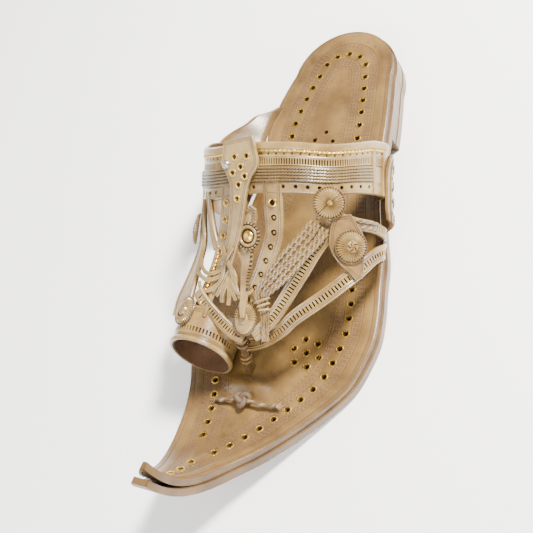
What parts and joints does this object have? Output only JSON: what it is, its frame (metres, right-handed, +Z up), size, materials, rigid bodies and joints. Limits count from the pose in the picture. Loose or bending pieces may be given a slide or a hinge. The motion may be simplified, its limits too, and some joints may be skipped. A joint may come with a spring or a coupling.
{
  "type": "kolhapuri sandal",
  "caption": "Left braided leather toe-ring sandal: broad pierced instep band, crossing straps, post and cuff for the big toe, rosettes, and an upturned pointed toe.",
  "frame": {"origin": "on the ground under the heel, on the sandal's long axis, 38 mm forward of the insole's back edge", "axes": "+Z up, -Y towards the toe, -X towards the big toe's side of this left sandal"},
  "size_m": [0.1249, 0.3062, 0.0936],
  "materials": {
    "insole": "vegetable-tanned leather, polished edge",
    "outsole": "vegetable-tanned sole leather",
    "heel_lift_upper": "stacked sole leather",
    "heel_lift_lower": "stacked sole leather",
    "upper": "pale vegetable-tanned leather, polished",
    "side_flap_outer": "pale vegetable-tanned leather",
    "side_flap_inner": "pale vegetable-tanned leather",
    "sole_tab": "pale vegetable-tanned leather",
    "tongue": "pale vegetable-tanned leather, polished",
    "tassel": "pale leather strips",
    "stud": "dull nickel",
    "tulip": "pale vegetable-tanned leather",
    "brass_dome": "polished",
    "leaf_plate": "pale vegetable-tanned leather",
    "cord_bundle": "waxed twisted cord",
    "rosette_band": "pale leather, coiled and fringed",
    "rosette_leaf": "pale leather, coiled and fringed",
    "rosette_inner": "pale leather, coiled and fringed",
    "rosette_post": "pale leather, coiled and fringed",
    "rosette_ring": "pale leather, coiled and fringed",
    "toe_knot": "greyed raw leather"
  },
  "bodies": {
    "root": {"insole": "insole", "outsole": "outsole", "heel_lift_upper": "heel_lift_upper", "heel_lift_lower": "heel_lift_lower", "upper": "upper", "side_flap_outer": "side_flap_outer", "side_flap_inner": "side_flap_inner", "sole_tab": "sole_tab", "tongue": "tongue", "tassel": "tassel", "stud": "stud", "tulip": "tulip", "brass_dome": "brass_dome", "leaf_plate": "leaf_plate", "cord_bundle": "cord_bundle", "rosette_band": "rosette_band", "rosette_leaf": "rosette_leaf", "rosette_inner": "rosette_inner", "rosette_post": "rosette_post", "rosette_ring": "rosette_ring", "toe_knot": "toe_knot"}
  },
  "joints": []
}
